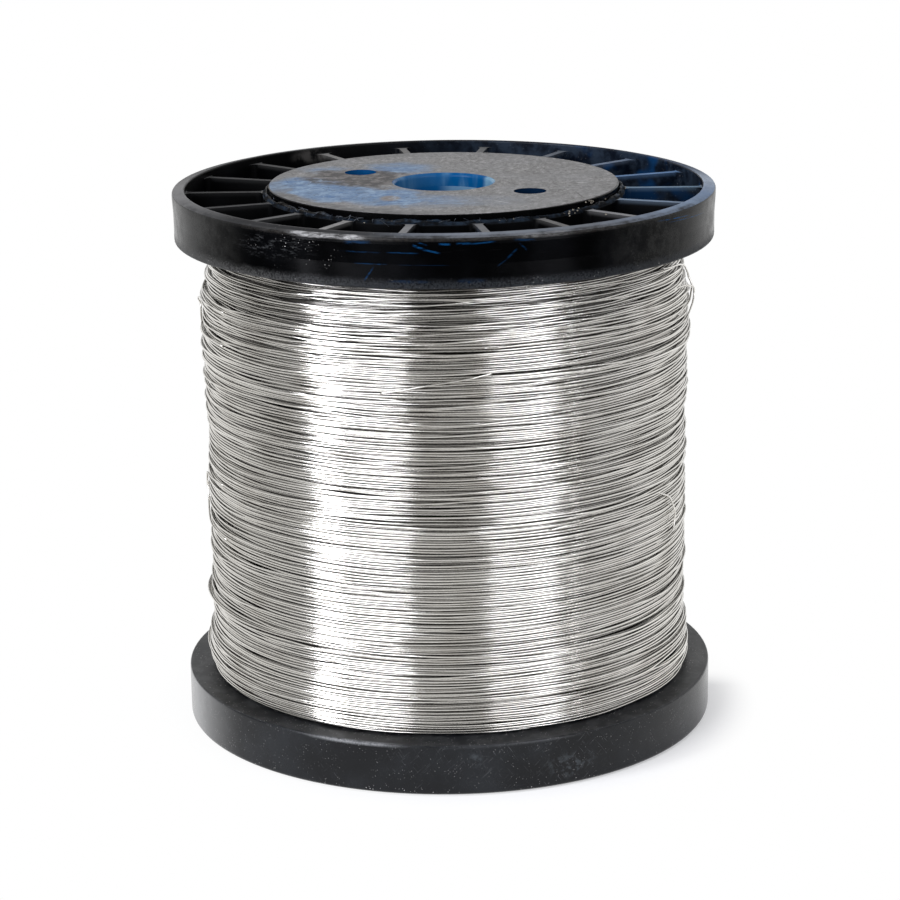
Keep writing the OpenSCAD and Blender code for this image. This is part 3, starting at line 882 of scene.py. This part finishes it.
def hub_disc_plastic(name, face_z, stained):
    """Matt grey face with black sides. stained is 1 on the disc that paint has run over."""
    skin = Surface(name)
    x, y, radius = skin.x, skin.y, skin.radius
    depth = skin.math("ABSOLUTE", skin.minus(skin.height, face_z * MM))
    face = skin.both(skin.span_mm(depth, 0.3, 0.05), skin.span_mm(radius, DISC_R - 0.1, DISC_R - 0.4))
    grain = skin.noise(900, 4, 0.65)
    blotch = skin.noise(260, 4, 0.6)
    patchy = skin.span(blotch, 0.42, 0.6)
    cloud = skin.noise(55, 4)
    wander = skin.both(skin.minus(skin.noise(75, 4, 0.6), 0.5), 24 * MM)
    moved = skin.vector(skin.plus(x, wander), skin.minus(y, wander), 0)
    skin.color = skin.mix(skin.span(grain, 0.3, 0.7), (0.13, 0.127, 0.123), (0.285, 0.281, 0.275))
    skin.paint((0.13, 0.128, 0.125), skin.span(blotch, 0.42, 0.7, 0, 0.55))
    coarse = skin.noise(520, 5, 0.8, (1, 0.6, 1))
    skin.paint((0.085, 0.084, 0.082), skin.span(coarse, 0.53, 0.64, 0, 0.8))
    skin.paint((0.34, 0.335, 0.33), skin.span(coarse, 0.47, 0.37, 0, 0.8))
    skin.paint((0.235, 0.238, 0.242), skin.span(cloud, 0.4, 0.68, 0, 0.4))
    skin.paint((0.16, 0.158, 0.155), skin.span(skin.noise(75, 3, 0.5, (1, 1.4, 1)), 0.48, 0.62, 0, 0.35))
    worn_edge = skin.both(skin.span_mm(x, 15, -15), skin.span_mm(y, -8, -28, 0.25, 1),
                          skin.span_mm(skin.plus(radius, wander), DISC_R - 8, DISC_R - 4))

    # Blue paint has run over the left half, crackled and with pale wisps
    blue = skin.spots(((-53, -6, 0), (19, 21, ENDLESS), 0.4, 1),
                      ((-39, -22, 0), (18, 20, ENDLESS), 0.4, 1),
                      ((-21, -30, 0), (18, 21, ENDLESS), 0.45, 1),
                      ((-3, -40, 0), (19, 15, ENDLESS), 1, 0.45),
                      ((6, -38, 0), (30, 16, ENDLESS), 1, 0.18),
                      ((-16, 29, 0), (17, 15, ENDLESS), 0.8, 0.9),
                      ((-45, 28, 0), (13, 10, ENDLESS), 0.8, 0.45), vector=moved)
    blue = skin.both(blue, stained, skin.span(skin.noise(120, 4, 0.65), 0.25, 0.5, 0.6, 1))
    blue = skin.less(blue, skin.both(worn_edge, 0.85))
    streaky = (1, 1.8, 1)
    skin.paint((0.125, 0.20, 0.315), blue, 0.92)
    skin.paint((0.055, 0.13, 0.28), blue, skin.span(skin.noise(140, 4, 0.7, streaky), 0.52, 0.64), 0.7)
    skin.paint((0.27, 0.37, 0.49), blue, skin.span(skin.noise(190, 5, 0.75, streaky), 0.52, 0.62), 0.65)

    # Brown-grey dirt lies between the drive hole and the bore, with a tan spot in front of them
    dirt = skin.spots(((-41, 10, 0), (13, 18, ENDLESS), 0.35, 1),
                      ((-28, 4, 0), (15, 19, ENDLESS), 0.35, 1),
                      ((-20, 17, 0), (7, 7, ENDLESS), 0.5, 1), vector=moved)
    dirt = skin.both(dirt, stained, skin.span(grain, 0.3, 0.5, 0.65, 1))
    dirt_color = skin.mix(patchy, (0.06, 0.057, 0.058), (0.125, 0.112, 0.105))
    skin.paint(dirt_color, dirt, skin.span(blotch, 0.62, 0.5, 0.35, 0.95))
    tan = skin.spots(((-19.3, -33.2, face_z), (4.8, 6.8, ENDLESS), 0.5, 0.9))
    skin.paint((0.21, 0.185, 0.165), tan, stained)
    skin.paint(skin.mix(patchy, (0.1, 0.1, 0.1), (0.17, 0.168, 0.165)), worn_edge, stained, 0.85)

    # The paint is crazed with fine dark and light cracks
    bent = skin.stretched((1, 1.3, 1), skin.vector_math("ADD", skin.place, skin.vector(wander, wander, 0)))
    fine_spots = skin.noise(150, 2)
    crazing = skin.node("ShaderNodeTexVoronoi", {"Vector": bent, "Scale": 170.0},
                        feature="DISTANCE_TO_EDGE").outputs["Distance"]
    skin.paint((0.05, 0.055, 0.06), skin.span(crazing, 0.06, 0.01), skin.span(fine_spots, 0.45, 0.58),
               skin.total(blue, dirt), 0.55)
    skin.paint((0.33, 0.43, 0.53), skin.span(crazing, 0.12, 0.06), skin.span(fine_spots, 0.52, 0.44),
               blue, 0.35)

    # Fine scratches and small dark pits
    lines = skin.total(skin.slanted_scratches((0, 0, 0.9), 12, 0.25, 0),
                       skin.slanted_scratches((0, 0, -0.5), 15, 0.22, 0))
    skin.paint((0.36, 0.36, 0.36), lines, skin.span(skin.noise(40, 2), 0.45, 0.6), 0.35)
    bright = skin.strokes(x, y, (((48, -5.2), (54, -6.9), 0.6, 1), ((17, -39), (24, -45.5), 0.5, 1)))
    skin.paint((0.5, 0.5, 0.49), bright, stained, 0.6)
    skin.paint((0.05, 0.05, 0.05), skin.strokes(x, y, (((47.4, -22), (50.4, -39), 0.4, 1),)), stained, 0.6)
    pits = skin.both(skin.specks(430, 0.14), skin.span(cloud, 0.42, 0.58))
    skin.paint((0.03, 0.03, 0.03), pits, 0.6)
    skin.color = skin.mix(face, BLACK, skin.color)

    # The walls of the bore and the drive holes are blue, the right hole's the darkest
    wall = skin.both(skin.span_mm(depth, 0.02, 0.12), skin.span_mm(radius, 56, 50))
    run = skin.span(skin.noise(130, 3, 0.5, (1, 1, 0.2)), 0.35, 0.65)
    pale_side = skin.total(skin.span_mm(x, -3, 4, 0.1, 1), skin.span_mm(x, -9, -16, 0, 0.5))
    wall_color = skin.mix(skin.both(run, pale_side), BORE_BLUE, (0.13, 0.25, 0.35))
    hole_color = skin.mix(skin.span_mm(x, 10, 20), (0.002, 0.045, 0.14), (0.0015, 0.01, 0.03))
    skin.paint(skin.mix(skin.span_mm(radius, 28, 31), wall_color, hole_color), wall)

    rough = skin.span(face, 0, 1, 0.25, 0.62)
    dents = skin.both(skin.minus(skin.plus(grain, skin.both(blotch, 0.5)), skin.both(pits, 0.6)), face)
    return skin.finished(rough, dents, 0.6, 0.12, Specular_IOR_Level=DISC_GLOSS)


def barrel_plastic():
    skin = Surface("barrel_plastic")
    cloud = skin.span(skin.noise(1, 4, 0.5, (60, 60, 12)), 0.35, 0.7)
    pale = skin.total(skin.span_mm(skin.x, -3, 4), skin.span_mm(skin.x, -9, -16, 0, 0.5))
    pale = skin.both(pale, skin.span(cloud, 0, 1, 0.6, 1))
    skin.color = skin.mix(cloud, BLACK, SOOT)
    skin.paint(skin.mix(pale, BORE_BLUE, (0.16, 0.28, 0.38)), skin.span_mm(skin.radius, 30, 25))
    rough = skin.span(cloud, 0, 1, 0.3, 0.45)
    return skin.finished(rough, cloud, 0.3, Specular_IOR_Level=DISC_GLOSS)


# Melted plastic around the hub discs, with the threads and crumbs that stick to it
MELTED_SEED = 11
BEAD_STEPS = 720
BEAD_SIDES = 8
BEAD_DEPTH = 2.7
# How far the bead stands off the disc, its half thickness, and how much that, its place and its surface vary
BEAD_OFF = 0.7
BEAD_SIZE = 0.5
BEAD_SIZE_VARIES = 0.2
BEAD_SWAY = 0.25
BEAD_LIFT = 0.3
BEAD_ROUGH = 0.09
THREAD_SIDES = 4
THREAD_STEPS = 12
# Degrees from the front between which threads hang, how many, their reach outwards and their thickness
THREADS = (
    (-58, -18, 22, 1.8, 0.07),
    (-20, 40, 8, 0.9, 0.06),
    (48, 78, 4, 0.8, 0.07),
    (-80, -62, 6, 0.8, 0.12),
)
CRUMB_RINGS = 4
CRUMB_STEPS = 7
CRUMB_LID = 0.35
# Crumbs: degrees from the front, distance from the axis, height and half of the size
CRUMBS = (
    (38.8, 67.8, 200.9, 0.3), (40.2, 68.4, 200.7, 0.4), (41.3, 67.1, 201.2, 0.35), (42.2, 68.8, 200.6, 0.3),
    (43.1, 66.9, 201.4, 0.45), (44.5, 67.4, 201.0, 0.35), (45.8, 66.6, 201.5, 0.3), (39.4, 69.8, 200.2, 0.3),
    (40.9, 67.8, 201.0, 0.3), (43.8, 66.4, 201.2, 0.3), (52.2, 64.0, 202.8, 0.55), (53.2, 64.5, 202.7, 0.6),
    (54.3, 64.6, 202.6, 0.55), (55.2, 64.9, 202.1, 0.5), (51.2, 64.8, 202.5, 0.4), (53.8, 65.3, 201.9, 0.5),
    (62.5, 65.6, 201.7, 0.3), (17.0, 66.4, 200.7, 0.22), (21.5, 66.2, 200.9, 0.25), (47.0, 78.0, 200.5, 0.45),
    (-24.0, 68.5, 200.3, 0.3), (140.0, 66.5, 200.8, 0.5), (-112.0, 66.0, 201.0, 0.45),
)


def joined(parts):
    """Points and faces of several meshes, each given as its points and then its arrays of faces."""
    points, faces, count = [], [], 0
    for part_points, *part_faces in parts:
        points.append(part_points)
        faces.extend(f + count for f in part_faces)
        count += len(part_points)
    return np.concatenate(points), faces


def bead_points(rng, height):
    """A lumpy ring in the groove between hub disc and collar."""
    angle = np.arange(BEAD_STEPS)[:, None] * math.tau / BEAD_STEPS
    sway, lift, swell = [smooth_field(rng, 1, BEAD_STEPS, 1, scale)[0][:, None] for scale in (9, 7, 6)]
    turn = np.arange(BEAD_SIDES) * math.tau / BEAD_SIDES
    size = np.clip(BEAD_SIZE + BEAD_SIZE_VARIES * swell, BEAD_SIZE / 2, BEAD_SIZE * 2)
    size = size + rng.normal(size=(BEAD_STEPS, BEAD_SIDES)) * BEAD_ROUGH
    radius = DISC_R + BEAD_OFF + BEAD_SWAY * sway + size * np.cos(turn)
    return around_axis(radius, angle, height + BEAD_LIFT * lift + size * np.sin(turn)).reshape(-1, 3)


def thread_arrays(rng, first, last, reach, thickness):
    """A drawn-out thread of plastic that hangs from the bead."""
    share = np.linspace(0, 1, THREAD_STEPS)
    arch = np.sin(share * math.pi)
    start = rng.uniform(first, last)
    angle = np.radians(start + rng.uniform(-5, 5) * share + rng.uniform(-1.2, 1.2) * arch - 90)
    radius = rng.uniform(65.3, 66.3) + rng.uniform(0.3, 1.0) * reach * share
    z = rng.uniform(200.9, 201.9) + rng.uniform(-0.2, 0.9) * arch - rng.uniform(0.4, 2.2) * share ** 2
    return tube_arrays(around_axis(radius, angle, z), thickness * rng.uniform(0.7, 1.4), THREAD_SIDES)


def crumb_arrays(rng, degrees, radius, height, size):
    """A small rough lump."""
    down = np.linspace(CRUMB_LID, math.pi - CRUMB_LID, CRUMB_RINGS)[:, None]
    turn = np.arange(CRUMB_STEPS) * math.tau / CRUMB_STEPS
    grown = size * rng.uniform(0.6, 1.25, size=(CRUMB_RINGS, CRUMB_STEPS))
    offsets = around_axis(grown * np.sin(down), turn, grown * np.cos(down) * 0.8)
    points = around_axis(radius, math.radians(degrees - 90), height) + offsets.reshape(-1, 3)
    here = np.arange(CRUMB_STEPS)
    after = (here + 1) % CRUMB_STEPS
    last = (CRUMB_RINGS - 1) * CRUMB_STEPS
    walls = [np.stack([here + row, here + row + CRUMB_STEPS, after + row + CRUMB_STEPS, after + row], axis=-1)
             for row in range(0, last, CRUMB_STEPS)]
    return points, np.concatenate(walls), np.stack([here, last + here[::-1]])


def melted_material():
    """Blue-grey, brown at its left end, with a painted highlight that lightens its outer side."""
    skin = Surface("melted_plastic")
    cloud = skin.noise(240, 4, 0.65)
    fleck = skin.noise(900, 3, 0.7)
    blend = skin.span(cloud, 0.42, 0.64)
    skin.color = skin.mix(blend, (0.0008, 0.0014, 0.0026), (0.006, 0.013, 0.024))
    skin.paint(skin.mix(blend, (0.004, 0.0036, 0.0032), (0.032, 0.03, 0.027)), skin.span_mm(skin.x, -36, -50))
    # Painted highlight on the bead's outer side
    skin.paint((0.06, 0.085, 0.12), skin.span_mm(skin.radius, 65.7, 66.3), skin.span(cloud, 0.5, 0.62),
               skin.span_mm(skin.x, -50, -36), 0.3)
    skin.paint((0.25, 0.24, 0.22), skin.span(fleck, 0.62, 0.74, 0, 0.5))
    return skin.finished(0.5, fleck, 0.6, Specular_IOR_Level=UPPER_GLOSS)


def thread_material():
    skin = Surface("melted_threads")
    tone = skin.noise(500, 3, 0.6)
    skin.color = skin.mix(skin.span(tone, 0.42, 0.62), (0.006, 0.009, 0.015), (0.1, 0.112, 0.13))
    return skin.finished(0.45, Specular_IOR_Level=LOWER_GLOSS)


def crumb_material():
    skin = Surface("crumbs")
    tone = skin.noise(1500, 3, 0.7)
    skin.color = skin.mix(skin.span(tone, 0.38, 0.6), (0.03, 0.026, 0.022), (0.3, 0.27, 0.22))
    return skin.finished(0.8, tone, 0.6, Specular_IOR_Level=DISC_GLOSS)


def add_melted_plastic():
    rng = np.random.default_rng(MELTED_SEED)
    melted = melted_material()
    heights = {"upper_bead": RIM_TOP + DISC_PROUD - BEAD_DEPTH, "lower_bead": RIM_LOW - DISC_PROUD + BEAD_DEPTH}
    for name, height in heights.items():
        faces = [ring_quads(BEAD_STEPS, BEAD_SIDES)]
        mesh_piece(name, bead_points(rng, height), faces, melted, "flange_plastic")
    threads = [thread_arrays(rng, first, last, reach, thickness)
               for first, last, count, reach, thickness in THREADS for _ in range(count)]
    mesh_piece("melted_threads", *joined(threads), thread_material(), "flange_plastic")
    crumbs = [crumb_arrays(rng, *crumb) for crumb in CRUMBS]
    mesh_piece("crumbs", *joined(crumbs), crumb_material(), "flange_plastic")


def dress_plastic():
    finishes = {
        "lower_flange": lower_flange_plastic(),
        "upper_flange": upper_flange_plastic(),
        "lower_hub_disc": hub_disc_plastic("lower_disc_plastic", 0, 0),
        "upper_hub_disc": hub_disc_plastic("upper_disc_plastic", DISC_TOP, 1),
        "barrel": barrel_plastic(),
    }
    for node, material in finishes.items():
        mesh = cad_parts[node].data
        mesh.materials.clear()
        mesh.materials.append(material)


bpy.context.scene.view_settings.view_transform = "Standard"
add_camera()
add_world()
add_floor()
for lamp in LAMPS:
    add_lamp(*lamp)
dress_plastic()
add_winding()
add_melted_plastic()
